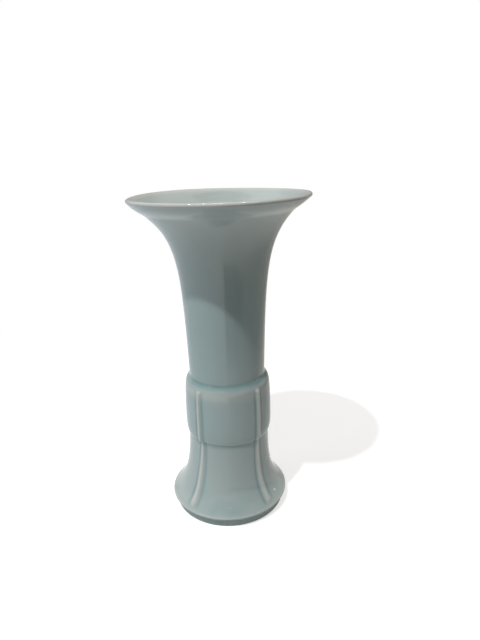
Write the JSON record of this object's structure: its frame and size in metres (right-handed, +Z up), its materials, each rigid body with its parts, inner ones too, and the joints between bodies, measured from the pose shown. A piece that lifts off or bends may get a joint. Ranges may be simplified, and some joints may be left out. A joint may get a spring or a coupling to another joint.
{
  "type": "celadon vase",
  "caption": "Tall celadon beaker vase with a trumpet mouth, a ribbed middle drum and a ribbed bell foot on a bare foot ring, for holding flowers in water.",
  "frame": {"origin": "centre of the foot ring's resting plane, on the vase's axis", "axes": "+Z up along the vase's axis towards the mouth; -Y towards the front, midway between two ribs; +X to the right seen from the front"},
  "size_m": [0.133, 0.133, 0.25],
  "materials": {
    "celadon_glaze": "glossy pale blue-green celadon glaze over white porcelain",
    "bare_clay": "unglazed turned foot ring, grey-green, smooth and matt"
  },
  "bodies": {
    "root": {"trumpet_neck": "celadon_glaze", "middle_drum": "celadon_glaze", "foot_bell": "celadon_glaze", "floor_disc": "celadon_glaze", "foot_ring": "bare_clay", "drum_rib_front_left": "celadon_glaze", "drum_rib_front_right": "celadon_glaze", "drum_rib_back_left": "celadon_glaze", "drum_rib_back_right": "celadon_glaze", "foot_rib_front_left": "celadon_glaze", "foot_rib_front_right": "celadon_glaze", "foot_rib_back_left": "celadon_glaze", "foot_rib_back_right": "celadon_glaze"}
  },
  "joints": []
}
